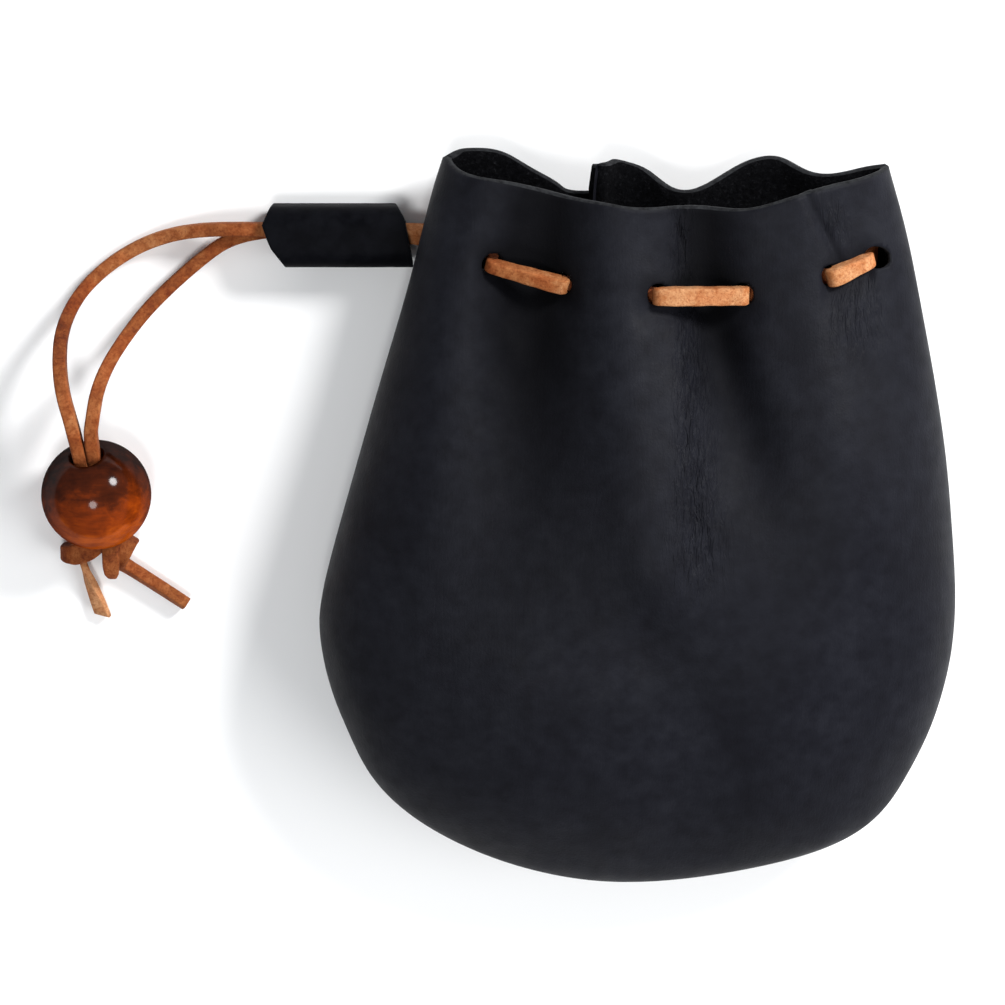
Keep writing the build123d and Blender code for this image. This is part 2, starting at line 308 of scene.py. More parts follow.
def bead_wood():
    """Stained wood under lacquer with faint bands, and painted light: darker towards the hole's upper mouth,
    paler towards the lower one, and painted shade round the waist.
    """
    s = Shader("bead_wood", (0.16, 0.03, 0.008), 0.35, 0.0)
    s.set("Coat Weight", 0.035)
    s.set("Coat Roughness", 0.11)
    s.set("Coat IOR", 3.6)
    place = s.node("ShaderNodeTexCoord").outputs["Object"]
    shifted = s.node("ShaderNodeVectorMath", {0: place, 1: BEAD_C * MM}, operation="SUBTRACT")

    def towards(direction):
        """How far a point is from the bead's middle along a direction, -1 to 1."""
        inputs = {0: shifted.outputs["Vector"], 1: Vector(direction) / (BEAD_R * MM)}
        return s.node("ShaderNodeVectorMath", inputs, operation="DOT_PRODUCT").outputs["Value"]

    grain_turn = (0.5, 0.2, 0.4)
    blotch = s.noise(0.22, 3, 0.5, 0.6)
    bands = s.noise(0.32, 4, 0.6, 1.2, at=s.place(scale=(0.35, 1.0, 1.0), turn=grain_turn))
    fibre = s.noise(0.6, 6, 0.65, at=s.place(scale=(0.25, 2.0, 2.0), turn=grain_turn))
    # painted shade: darker round the bead's middle in height, its rim as seen from above
    painted_waist_shade = s.span(s.math("ABSOLUTE", towards((0.1, -0.1, 0.99)), 0.0), 0.0, 0.75)
    # painted light along the axis, darker by the upper mouth and paler by the lower, over the wood's
    # blotches, bands and fibres
    tone_with_painted_light = s.weigh((towards(BEAD_AXIS), -0.24), (blotch, 0.34), (bands, 0.30), (fibre, 0.20), (painted_waist_shade, 0.22))
    colour = s.ramp(tone_with_painted_light, [
        (0.30, (0.010, 0.0022, 0.0010)),
        (0.48, (0.050, 0.0085, 0.0020)),
        (0.62, (0.165, 0.0240, 0.0025)),
        (0.78, (0.350, 0.0620, 0.0040)),
        (0.92, (0.480, 0.1200, 0.0080)),
    ])
    return s.finish(colour)


def seam_thread_material():
    s = Shader("waxed_thread", (0.01, 0.01, 0.012), 0.6)
    return s.finish(normal=s.bump(s.noise(4.0, 3), 0.1, 0.5))


# ---------------------------------------------------------------- mesh helpers

def add_mesh(name, points_mm, faces, materials, face_slots=None):
    mesh = bpy.data.meshes.new(name)
    mesh.from_pydata([tuple(float(c) * MM for c in p) for p in points_mm], [], faces)
    for material in materials:
        mesh.materials.append(material)
    if face_slots is not None:
        mesh.polygons.foreach_set("material_index", face_slots)
    mesh.polygons.foreach_set("use_smooth", [True] * len(mesh.polygons))
    mesh.update()
    obj = bpy.data.objects.new(name, mesh)
    bpy.context.scene.collection.objects.link(obj)
    return obj


def weld(obj, distance_mm=0.002):
    """Drops loose vertices, merges those at the same place, and drops faces that lose their area."""
    made = bmesh.new()
    made.from_mesh(obj.data)
    bmesh.ops.delete(made, geom=[v for v in made.verts if not v.link_faces], context="VERTS")
    bmesh.ops.remove_doubles(made, verts=made.verts, dist=distance_mm * MM)
    bmesh.ops.dissolve_degenerate(made, edges=made.edges, dist=distance_mm * 0.5 * MM)
    bmesh.ops.recalc_face_normals(made, faces=made.faces)
    made.to_mesh(obj.data)
    made.free()


def grid_faces(base, rows, columns):
    """The quads of a grid of points, row by row from point base on."""
    starts = [base + r * columns + c for r in range(rows - 1) for c in range(columns - 1)]
    return [(a, a + 1, a + 1 + columns, a + columns) for a in starts]


def tube_faces(base, rings, ring):
    """The quads between rings of points, ring points in each, from point base on, and a cap at each end."""
    faces = []
    for r in range(rings - 1):
        for k in range(ring):
            a, b = base + r * ring + k, base + r * ring + (k + 1) % ring
            faces.append((a, b, b + ring, a + ring))
    faces.append(tuple(base + k for k in reversed(range(ring))))
    faces.append(tuple(base + (rings - 1) * ring + k for k in range(ring)))
    return faces


def natural_spline(knots, values):
    """A function of one variable: the natural cubic spline through values at knots. Values may be points."""
    t = np.asarray(knots, float)
    y = np.asarray(values, float)
    flat = y.reshape(len(t), -1)
    h = np.diff(t)
    matrix = np.eye(len(t))
    right = np.zeros_like(flat)
    for i in range(1, len(t) - 1):
        matrix[i, i - 1 : i + 2] = h[i - 1], 2 * (h[i - 1] + h[i]), h[i]
        right[i] = 6 * ((flat[i + 1] - flat[i]) / h[i] - (flat[i] - flat[i - 1]) / h[i - 1])
    bend = np.linalg.solve(matrix, right)

    def value(x):
        x = np.clip(np.asarray(x, float), t[0], t[-1])
        i = np.clip(np.searchsorted(t, x) - 1, 0, len(t) - 2)
        a, b = ((t[i + 1] - x) / h[i])[..., None], ((x - t[i]) / h[i])[..., None]
        step = (h[i] ** 2 / 6)[..., None]
        found = a * flat[i] + b * flat[i + 1] + ((a**3 - a) * bend[i] + (b**3 - b) * bend[i + 1]) * step
        return found.reshape(x.shape + y.shape[1:])

    return value


def smooth_step(x, low, high):
    t = np.clip((np.asarray(x, float) - low) / (high - low), 0, 1)
    return t * t * (3 - 2 * t)


# ---------------------------------------------------------------- the bag's form

# The bag's edge from above as x and y, toe to mouth, and its outline from the side as y and z.
LEFT_EDGE = [
    (-1.5, TOE_Y), (-11.4, -60.05), (-25.6, -55.8), (-38.3, -48.3), (-44.0, -41.9), (-47.3, -35.1),
    (-49.9, -28.3), (-51.5, -21.5), (-51.9, -15.6), (-50.6, -8.5), (-46.8, 5.3), (-41.1, 25.2),
    (-37.3, 38.3), (-33.4, 53.3), (-31.5, 60),
]
RIGHT_EDGE = [
    (-1.5, TOE_Y), (9.9, -60.1), (23.8, -57.4), (33.9, -53.9), (40.8, -48.8), (45.2, -41.9),
    (48.3, -35.1), (50.5, -28.0), (51.8, -21), (52.2, -12), (51.5, -1.4), (50.1, 12),
    (47.9, 25.2), (45.4, 38.3), (42.2, 53.3), (40.3, 60),
]
TOP_LINE = [(TOE_Y, 13), (-53, 21.5), (-36, 30), (-12, 34.0), (14, 31), (42, 25), (60, 23.5)]
BASE_LINE = [
    (TOE_Y, 9), (-54, 3.4), (-44, 0.8), (-24, 0), (-2, 0), (14, 1.0), (32, 4.6), (46, 6.2), (60, 6.2),
]
MOUTH_Y = 60.0  # rows end here before the rim is shaped
ROWS, COLUMNS = 221, 281  # of the outer grid, from toe to mouth and from seam to seam: both odd
ROW_EASE = 0.13  # the smaller, the closer the rows at the toe
LIP_STEPS, ALLOWANCE_STEPS = 7, 4
LIPS = LIP_STEPS + ALLOWANCE_STEPS


def by_root(points, along, value):
    """A curve as a function of y that may leave the toe squarely: it is smooth in the distance's root."""
    roots = [math.sqrt(max(0.0, p[along] - TOE_Y)) for p in points]
    curve = natural_spline(roots, [p[value] for p in points])
    return lambda y: curve(np.sqrt(np.maximum(0.0, np.asarray(y, float) - TOE_Y)))


edge_left = by_root(LEFT_EDGE, 1, 0)
edge_right = by_root(RIGHT_EDGE, 1, 0)
line_top = by_root(TOP_LINE, 0, 1)
line_base = by_root(BASE_LINE, 0, 1)


def row_places():
    v = np.linspace(0, 1, ROWS)
    eased = (np.sqrt(v**2 + ROW_EASE**2) - ROW_EASE) / (math.sqrt(1 + ROW_EASE**2) - ROW_EASE)
    return TOE_Y + (MOUTH_Y - TOE_Y) * eased


def lip_radius(y):
    """Outer radius of the turned edge: it flattens out where the seam meets the mouth."""
    return LIP - (LIP - 0.35) * smooth_step(y, MOUTH_Y - 16, MOUTH_Y - 3)


def superellipse(turn, power):
    c, s = np.cos(turn), np.sin(turn)
    return np.sign(c) * np.abs(c) ** (2 / power), np.abs(s) ** (2 / power)


def even_turns(power, half_width, height):
    """Turns from one seam to the other that space the columns evenly along the section."""
    fine = np.linspace(math.pi, 0, 4001)
    x, z = superellipse(fine, power)
    run = np.concatenate([[0], np.cumsum(np.hypot(np.diff(x) * half_width, np.diff(z) * height))])
    return np.interp(np.linspace(0, run[-1], COLUMNS), run, fine)


def panel_base(front):
    """Outer surface of a panel before its pleats, rows by columns by 3, from seam to seam, with no lips."""
    y = row_places()[:, None]
    power = CROWN_POWER if front else BASE_POWER
    across, rise = superellipse(even_turns(power, 50, 20 if front else 9)[None, :], power)
    left, right = edge_left(y), edge_right(y)
    x = (left + right) / 2 + (right - left) / 2 * across
    if front:
        start = SEAM_Z - SEAM_PRESS + lip_radius(y)
        z = start + np.maximum(0.0, line_top(y) - start) * rise
    else:
        start = SEAM_Z + SEAM_PRESS - lip_radius(y)
        z = start - np.maximum(0.0, start - line_base(y)) * rise
    return np.stack([x, y + 0 * x, z + 0 * x], axis=-1)


def of_y(*pairs):
    """A smooth function of y through (y, value) pairs given from the toe side up."""
    return natural_spline([p[0] for p in pairs], [p[1] for p in pairs])


def value_noise(seed, size_x, size_y):
    """A smooth random function of x and y, -1 to 1, with cells of this size in millimetres."""
    cells = 97
    table = np.random.default_rng(seed).uniform(-1, 1, (cells, cells))

    def value(x, y):
        u, v = x / size_x, y / size_y
        i, j = np.floor(u).astype(int), np.floor(v).astype(int)
        f, g = smooth_step(u - i, 0, 1), smooth_step(v - j, 0, 1)
        low = table[i % cells, j % cells] * (1 - f) + table[(i + 1) % cells, j % cells] * f
        high = table[i % cells, (j + 1) % cells] * (1 - f) + table[(i + 1) % cells, (j + 1) % cells] * f
        return low * (1 - g) + high * g

    return value


# The front's two deep pleats: where each one runs, how deep and how wide it is, all by y.
VALLEYS = [
    (
        of_y((-60, -22), (-5, -20.0), (10, -19.2), (25, -18.4), (45, -17.0), (60, -14.6)),
        of_y((-60, 0), (-15, 0), (-2, 1.2), (9, 3.2), (22, 5.6), (35, 6.8), (46, 5.8), (60, 3.4)),
        of_y((-60, 7.4), (0, 7.0), (20, 5.9), (41, 5.0), (60, 4.3)),
    ),
    (
        of_y((-60, 24), (0, 20.2), (10, 17.8), (20, 15.0), (30, 12.5), (45, 10.4), (60, 9.4)),
        of_y((-60, 0), (-13, 0), (-3, 0.5), (8, 1.9), (20, 3.8), (32, 5.4), (45, 5.0), (60, 3.0)),
        of_y((-60, 7), (-5, 6), (8, 4.8), (25, 3.5), (41, 3.3), (50, 3.8), (60, 4.2)),
    ),
]
PAINTED_SHADE_DEPTH = of_y((-60, 5), (40, 5), (50, 4.0), (60, 2.8))  # at this depth and deeper a pleat's painted shade is full
# The three ridges beside them: where each one's crest is, its height and its width.
RIDGES = [
    (
        of_y((-60, -31), (0, -31), (40, -29.6), (60, -27.0)),
        of_y((-60, 0), (-24, 0), (5, 0.9), (30, 1.2), (60, 0.8)),
        of_y((-60, 6), (20, 5), (60, 4)),
    ),
    (
        of_y((-60, 8), (-10, 5.2), (-5, 3.2), (5, 0.6), (15, -0.9), (28, -2.3), (45, -3.7), (60, -4.6)),
        of_y((-60, 0), (-17, 0), (-10, 1.2), (-4, 2.3), (5, 2.4), (15, 2.1), (25, 1.7), (45, 1.1), (60, 0.8)),
        of_y((-60, 7), (-10, 4.9), (8, 4.7), (45, 3.6), (60, 3.4)),
    ),
    (
        of_y((-60, 42), (8, 35.5), (25, 30.0), (45, 26.4), (60, 25.5)),
        of_y((-60, 0), (-14, 0), (2, 1.2), (12, 1.8), (40, 1.3), (60, 0.9)),
        of_y((-60, 7), (10, 6), (45, 4.4), (60, 4)),
    ),
]
# Where the leather is finely creased down its middle, and how wide that band is.
CREASED = of_y((-60, 10), (-10, 9.4), (10, 8.9), (28, 8.4), (45, 6.9), (60, 6.6))
CREASED_WIDTH = of_y((-60, 3), (-10, 3.3), (5, 2.6), (18, 1.9), (33, 1.5), (48, 1.1), (60, 1.0))
# Each punched hole's x, y, length and width. The lace goes through the inner end of the front's last one.
FRONT_HOLES = [
    (-23.6, 43.9, 3.7, 3.4), (-12.3, 40.8, 3.7, 3.4), (2.8, 39.7, 3.7, 3.6),
    (16.3, 39.5, 3.7, 3.6), (30.4, 42.1, 3.7, 3.6), (38.0, 45.0, 4.8, 3.6),
]
FRONT_STITCHES = [((-23.6, 43.9), (-12.3, 40.8)), ((2.8, 39.7), (16.3, 39.5)), ((30.4, 42.1), (36.3, 44.5))]
BACK_HOLES = [
    (-26.8, 45.0, 3.7, 3.5), (-12.0, 44.6, 3.7, 3.5), (-2.0, 44.4, 3.7, 3.5),
    (12.0, 44.4, 3.7, 3.5), (21.0, 44.6, 3.7, 3.5), (33.0, 45.0, 3.7, 3.5),
]
BACK_STITCHES = [((33.0, 45.0), (21.0, 44.6)), ((12.0, 44.4), (-2.0, 44.4))]
FRONT_RIM = natural_spline(
    [-33, -31.3, -30.0, -27.5, -21.3, -12.5, -5.2, -1.2, 7.2, 16.2, 24.1, 30.4, 35.6, 40.3],
    [60.5, 59.7, 58.7, 57.7, 56.6, 54.4, 53.6, 53.0, 52.8, 52.6, 54.6, 56.2, 57.1, 58.2],
)
# The back rim: x on the plain section, then x, y and z as it is gathered. Past x -8 it folds over itself.
BACK_RIM = [
    (-31.5, -31.5, 59.6, 10.5), (-30.6, -30.6, 60, 9.0), (-27.5, -27.3, 60.5, 7.4), (-21.5, -21.5, 59.6, 6.6),
    (-17.0, -17.0, 57.1, 6.6), (-12.8, -12.6, 54.6, 7.2), (-10.0, -8.4, 53.6, 7.6), (-8.7, -4.8, 54.9, 9.2),
    (-7.6, -6.8, 58.0, 12.4), (-6.4, -6.0, 58.7, 11.4), (-4.6, -4.6, 58.9, 9.4), (-1.6, -2.0, 58.4, 8.2),
    (3.0, 2.2, 56.8, 8.6), (7.2, 5.8, 54.5, 10.4), (11.5, 9.6, 54.5, 9.6), (16.0, 14.2, 56.7, 7.4),
    (21.5, 19.6, 58.9, 6.4), (25.2, 23.8, 58.8, 6.8), (28.6, 27.8, 57.0, 8.6), (33.0, 32.8, 56.8, 9.0),
    (38.0, 38.0, 57.9, 9.0), (40.3, 40.3, 58.3, 10.5),
]


def bell(x, y, crest, width):
    return np.exp(-0.5 * ((x - crest(y)) / width(y)) ** 2)


def pleat_depth(x, y):
    return sum(depth(y) * bell(x, y, crest, width) for crest, depth, width in VALLEYS)


def wrinkle_band(x, y):
    """Where the leather is finely creased: down the second ridge, and under and over the last stitch."""
    down = bell(x, y, CREASED, CREASED_WIDTH) * smooth_step(y, -13, 2)
    down *= 1 + 0.4 * smooth_step(y, 12, 26)
    under = 0.8 * np.exp(-0.5 * (((x - 35.0) / 3.2) ** 2 + ((y - 35.5) / 4.0) ** 2))
    over = 0.7 * np.exp(-0.5 * (((x - 31.0 - 0.3 * (51 - y)) / 1.6) ** 2 + ((y - 51) / 3.0) ** 2))
    return np.clip(down + under + over, 0, 1.4)


def stitch_groove(x, y, stitches):
    """How far in millimetres the tight lace presses the leather in, along each stitch and round its holes."""
    dent = 0 * x
    for (x0, y0), (x1, y1) in stitches:
        along = (x - x0) / (x1 - x0)
        off = y - (y0 + (y1 - y0) * np.clip(along, 0, 1))
        ends = smooth_step(along, -0.35, 0.0) * (1 - smooth_step(along, 1.0, 1.35))
        dent = np.maximum(dent, 1.1 * np.exp(-((off / 2.9) ** 2)) * ends)
    return dent


def shape_front(p):
    """Pleats, wrinkles and rim of the front panel."""
    x, y = p[..., 0].copy(), p[..., 1].copy()
    z = p[..., 2]
    z -= pleat_depth(x, y)
    for crest, height, width in RIDGES:
        z += height(y) * bell(x, y, crest, width)
    z -= 0.9 * np.exp(-0.5 * (((x + 1) / 8.0) ** 2 + ((y + 17) / 6.0) ** 2))  # a soft dent below the pleats
    band = wrinkle_band(x, y)
    for seed, wide, tall, height in ((3, 1.1, 5.0, 0.30), (5, 0.9, 2.6, 0.16)):
        z += height * band * value_noise(seed, wide, tall)(x + 0.6 * np.sin(y / 4.2), y)
    # one sharp crease, aslant from the rim to the last stitch
    z -= 0.55 * np.exp(-0.5 * ((x - 29.2 - (53 - y) * 0.42) / 0.55) ** 2) * smooth_step(y, 43.5, 47)
    high = smooth_step(z, SEAM_Z + 4, SEAM_Z + 12)
    z += high * (0.45 * value_noise(11, 17, 22)(x, y) + 0.14 * value_noise(12, 6, 8)(x, y))
    z -= stitch_groove(x, y, FRONT_STITCHES)
    lift = smooth_step(y, 18, MOUTH_Y) ** 1.5
    p[..., 1] += lift * (FRONT_RIM(x) - MOUTH_Y)


def shape_back(p):
    """Pleats and rim of the back panel: the rim's own curve fades out down the panel."""
    x, y = p[..., 0].copy(), p[..., 1].copy()
    table = np.array(BACK_RIM)
    change = natural_spline(table[:, 0], table[:, 1:])(x[-1]) - p[-1]
    steps = np.arange(len(change))
    change[:, 2] *= smooth_step(np.minimum(steps, steps[::-1]), 0, 16)  # none at the seams themselves
    fade_y = smooth_step(y, 22, MOUTH_Y) ** 1.5
    fade_xz = smooth_step(y, 26, MOUTH_Y - 4)
    p += np.stack([fade_xz, fade_y, fade_xz], axis=-1) * change
    curved = smooth_step(y, 5, 30) * (1 - smooth_step(np.abs(x - 3) / 40, 0.7, 1.0))
    p[..., 2] += curved * (0.5 * value_noise(21, 12, 24)(x, y) + 0.35)
    p[..., 2] += stitch_groove(x, y, BACK_STITCHES)


def grid_normals(p, outward):
    """Unit normals of a grid of points, turned to the outside, with the toe's row made one."""
    du = np.gradient(p, axis=1)
    dv = np.gradient(p, axis=0)
    n = np.cross(du, dv)
    n[0] = 0
    length = np.linalg.norm(n, axis=-1, keepdims=True)
    n = np.divide(n, length, out=np.zeros_like(n), where=length > 1e-9)
    middle = n[len(n) // 2, n.shape[1] // 2]
    n = -n if np.dot(middle, outward) < 0 else n
    toe = (n[1] + n[1][::-1]) * np.array([0, 1, 1])
    n[0] = toe / np.maximum(1e-9, np.linalg.norm(toe, axis=1, keepdims=True))
    n[0, LIPS:-LIPS] = (0, -1, 0)
    return n


def with_lips(p, front):
    """Adds the turned edge and the allowance at both sides of a panel's grid, trimmed off near the mouth."""
    side = 1 if front else -1
    lip = lip_radius(row_places())[:, None]
    reach_end = ALLOWANCE - (ALLOWANCE - 1.4) * smooth_step(row_places(), MOUTH_Y - 14, MOUTH_Y - 4)[:, None]
    down = np.array([0, 0, -side])
    parts = []
    for column, sign in ((0, 1), (-1, -1)):
        seam = p[:, column]
        along = np.gradient(seam, axis=0)
        along[0] = (-1.0 * sign, 0.0, 0.0)
        flat = along[:, :2] / np.maximum(1e-9, np.linalg.norm(along[:, :2], axis=1, keepdims=True))
        inward = np.stack([flat[:, 1], -flat[:, 0], 0 * flat[:, 0]], axis=1) * sign
        inward[0] = (0.0, 1.0, 0.0)
        rings = []
        for k in range(1, LIP_STEPS + 1):
            turn = math.pi / 2 * k / LIP_STEPS
            rings.append(seam + inward * lip * (1 - math.cos(turn)) + down * lip * math.sin(turn))
        for k in range(1, ALLOWANCE_STEPS + 1):
            reach = lip + (reach_end - lip) * (k / ALLOWANCE_STEPS)
            rings.append(seam + inward * reach + down * lip)
        stack = np.stack(rings, axis=1)
        parts.append(stack[:, ::-1] if column == 0 else stack)
    return np.concatenate([parts[0], p, parts[1]], axis=1)


def panel_grid(front):
    """The panel's outer surface as a grid of points, rows from toe to mouth."""
    p = panel_base(front)
    if front:
        shape_front(p)
    else:
        shape_back(p)
    return with_lips(p, front)


def surface_at(panel, x, y):
    """The outer point and normal nearest to x, y seen from above. panel is (outer grid, normals)."""
    outer, normals = (grid[:, LIPS:-LIPS] for grid in panel)
    d = (outer[..., 0] - x) ** 2 + (outer[..., 1] - y) ** 2
    row, column = np.unravel_index(np.argmin(d), d.shape)
    return Vector(outer[row, column]), Vector(normals[row, column])


def open_hole(panel, grid, hole):
    """Opens an elliptic hole, square to the panel, in a grid of points, whose nearest ones become its rim.

    Gives the quads to leave out, as a mask, and the rim's points in order: (angle, row, column).
    """
    x, y, length, width = hole
    place, normal = surface_at(panel, x, y)
    along = Vector((1, 0, 0))
    along = (along - normal * along.dot(normal)).normalized()
    across = normal.cross(along)
    axes = np.array([along / (length / 2), across / (width / 2), normal])
    middle = (grid[:-1, :-1] + grid[1:, :-1] + grid[:-1, 1:] + grid[1:, 1:]) / 4
    u, v, w = np.moveaxis((middle - np.array(place)) @ axes.T, -1, 0)
    gone = (u**2 + v**2 < 1) & (np.abs(w) < 3)
    following = {}
    for r, c in np.argwhere(gone):
        corners = ((r, c), (r, c + 1), (r + 1, c + 1), (r + 1, c))
        for k, beyond in enumerate(((r - 1, c), (r, c + 1), (r + 1, c), (r, c - 1))):
            if not gone[beyond]:
                following[corners[k]] = corners[(k + 1) % 4]
    rim, angles = [next(iter(following))], []
    while following[rim[-1]] != rim[0]:
        rim.append(following[rim[-1]])
    for corner in rim:
        u, v, _ = axes @ (grid[corner] - np.array(place))
        out = 1 / math.hypot(u, v) - 1
        grid[corner] += np.array(along * (u * out * length / 2) + across * (v * out * width / 2))
        angles.append(math.atan2(v, u))
    turned = np.unwrap(angles)
    if turned[-1] < turned[0]:
        rim, angles = rim[::-1], angles[::-1]
    start = int(np.argmin(angles))
    rim, angles = rim[start:] + rim[:start], angles[start:] + angles[:start]
    turned = np.maximum.accumulate(np.unwrap(angles))
    return gone, [(angle, row, column) for angle, (row, column) in zip(turned, rim)]


def zip_rims(first, second):
    """Triangles between two rings of (angle, point index), both in the order of their angles."""
    faces = []
    i = j = 0
    while i < len(first) or j < len(second):
        next_i = first[i + 1][0] if i + 1 < len(first) else first[0][0] + 2 * math.pi
        next_j = second[j + 1][0] if j + 1 < len(second) else second[0][0] + 2 * math.pi
        a, b = first[i % len(first)][1], second[j % len(second)][1]
        if j >= len(second) or (i < len(first) and next_i <= next_j):
            i += 1
            faces.append((a, first[i % len(first)][1], b))
        else:
            j += 1
            faces.append((a, second[j % len(second)][1], b))
    return faces


def panel_solid(name, front, holes, materials):
    """The panel's leather: a fine outer and a coarser inner surface, joined by rounded cut edges."""
    outer = panel_grid(front)
    normals = grid_normals(outer, (0, 0, 1 if front else -1))
    panel = (outer.copy(), normals)
    inner = outer - normals * LEATHER
    past_rim = (outer[-1] - outer[-2]) * 0.6
    ease = 0.25
    rim = [outer[-1] * (1 - f) + inner[-1] * f + past_rim for f in (ease, 1 - ease)]
    coarse = inner[::2, ::2].copy()
    rows, count = outer.shape[:2]
    high, wide = coarse.shape[:2]
    inner_base = (rows + 2) * count
    grain_slot, flesh_slot, edge_slot = 0, 1, 2
    faces, slots = [], []

    gone_outer = np.zeros((rows - 1, count - 1), bool)
    gone_inner = np.zeros((high - 1, wide - 1), bool)
    for hole in holes:
        rims = []
        for grid, gone, base, step in ((outer, gone_outer, 0, count), (coarse, gone_inner, inner_base, wide)):
            opened, ring = open_hole(panel, grid, hole)
            gone |= opened
            rims.append([(angle, base + row * step + column) for angle, row, column in ring])
        walls = zip_rims(*rims)
        faces += walls
        slots += [edge_slot] * len(walls)

    rim_quads = np.zeros((2, count - 1), bool)
    for base, gone, slot in (
        (0, gone_outer, grain_slot),
        ((rows - 1) * count, rim_quads, edge_slot),
        (inner_base, gone_inner, flesh_slot),
    ):
        quads = grid_faces(base, gone.shape[0] + 1, gone.shape[1] + 1)
        kept = [quad for quad, left_out in zip(quads, gone.ravel()) if not left_out]
        faces += kept
        slots += [slot] * len(kept)
    rim_base = (rows + 1) * count
    last = inner_base + (high - 1) * wide
    for c in range(wide - 1):  # from the rounded edge to the coarser inner surface
        a = rim_base + 2 * c
        faces.append((a, a + 1, a + 2, last + c + 1, last + c))
        slots.append(edge_slot)
    for c_out, c_in in ((0, 0), (count - 1, wide - 1)):  # the allowance's long cut edges
        for r in range(high - 1):
            a = 2 * r * count + c_out
            b = inner_base + r * wide + c_in
            faces.append((a, a + count, a + 2 * count, b + wide, b))
            slots.append(edge_slot)
        a = (rows - 1) * count + c_out
        faces.append((a, a + count, a + 2 * count, last + c_in))
        slots.append(edge_slot)
    points = np.concatenate([outer.reshape(-1, 3), *rim, coarse.reshape(-1, 3)])
    obj = add_mesh(name, points, faces, materials, slots)
    weld(obj)
    return obj, panel


def tag_leather(piece):
    """Marks on each vertex its painted shade, from how deep in a pleat it lies, the stitches' grooves and a
    patch below the first pleat, and how finely it is creased, for the shader.
    """
    mesh = piece.data
    place = np.empty(len(mesh.vertices) * 3)
    mesh.vertices.foreach_get("co", place)
    x, y, _ = (place.reshape(-1, 3) / MM).T
    pleat = np.clip(pleat_depth(x, y) / PAINTED_SHADE_DEPTH(y), 0, 1)
    groove = stitch_groove(x, y, FRONT_STITCHES)
    below = np.exp(-0.5 * (((x + 12) / 8) ** 2 + ((y + 6) / 10) ** 2))  # painted shade where the first pleat runs out
    values = {
        # painted shade: darkens the colour in the pleats, along the stitches' grooves and where the first
        # pleat runs out
        "painted_shade": 0.88 * pleat + 0.5 * groove + 0.34 * below,
        "wrinkled": wrinkle_band(x, y),
    }
    for name, found in values.items():
        mesh.attributes.new(name, "FLOAT", "POINT").data.foreach_set("value", np.clip(found, 0, 1))


# ---------------------------------------------------------------- laces

def nurbs_path(points_mm, resolution=14):
    """Points in millimetres along the smooth curve that has points_mm as its control points."""
    curve = bpy.data.curves.new("route", "CURVE")
    curve.dimensions = "3D"
    curve.resolution_u = resolution
    spline = curve.splines.new("NURBS")
    spline.points.add(len(points_mm) - 1)
    for point, place in zip(spline.points, points_mm):
        point.co = (*[c * MM for c in place], 1)
    spline.order_u = 3
    spline.use_endpoint_u = True
    obj = bpy.data.objects.new("route", curve)
    bpy.context.scene.collection.objects.link(obj)
    bpy.context.view_layer.update()
    mesh = bpy.data.meshes.new_from_object(obj)
    found = [Vector(v.co) / MM for v in mesh.vertices]
    bpy.data.objects.remove(obj)
    bpy.data.curves.remove(curve)
    bpy.data.meshes.remove(mesh)
    return found


def lace_section(width, thick):
    """A flat lace's section: a rectangle with eased corners, as (across, through) pairs."""
    corner = 0.17 * thick
    points = []
    for sign_w, sign_t, start in ((1, 1, 0), (-1, 1, 90), (-1, -1, 180), (1, -1, 270)):
        for k in range(4):
            a = math.radians(start + 30 * k)
            points.append((
                sign_w * (width / 2 - corner) + corner * math.cos(a),
                sign_t * (thick / 2 - corner) + corner * math.sin(a),
            ))
    return points


def along_list(values, share):
    """The value at share, 0 to 1, of a list spread evenly from end to end. Values are numbers or vectors."""
    place = share * (len(values) - 1)
    low = min(int(place), len(values) - 2)
    return values[low] * (1 - place + low) + values[low + 1] * (place - low)


def lace_mesh(name, path, sides, material, tones_with_painted_light, widths=(LACE_W, LACE_W), thicks=(LACE_T, LACE_T), cut=0.0):
    """A flat lace along path. Sides, tones with painted light, widths and thicks are spread along it. cut
    slants its far end.
    """
    lengths = [0.0]
    for a, b in zip(path, path[1:]):
        lengths.append(lengths[-1] + (b - a).length)
    sides = [Vector(side) for side in sides]
    last = len(path) - 1
    points, shades = [], []
    for k, (place, along) in enumerate(zip(path, lengths)):
        share = k / last
        tangent = (path[min(k + 1, last)] - path[max(k - 1, 0)]).normalized()
        side = along_list(sides, share)
        side = (side - tangent * side.dot(tangent)).normalized()
        through = tangent.cross(side)
        wobble = 1 + 0.022 * math.sin(along * 1.7 + len(name)) + 0.018 * math.sin(along * 0.63)
        slant = cut * max(0.0, 1 - (lengths[-1] - along) / 2.5)
        section = lace_section(along_list(widths, share) * wobble, along_list(thicks, share))
        for across, deep in section:
            points.append(place + side * across + through * deep + tangent * (slant * across))
            shades.append(along_list(tones_with_painted_light, share))
    obj = add_mesh(name, points, tube_faces(0, len(path), len(section)), [material])
    obj.data.attributes.new("tone_with_painted_light", "FLOAT", "POINT").data.foreach_set("value", shades)
    weld(obj)
    return obj


def in_bead(along, across):
    return tuple(BEAD_C + BEAD_AXIS * along + BEAD_ACROSS * across)


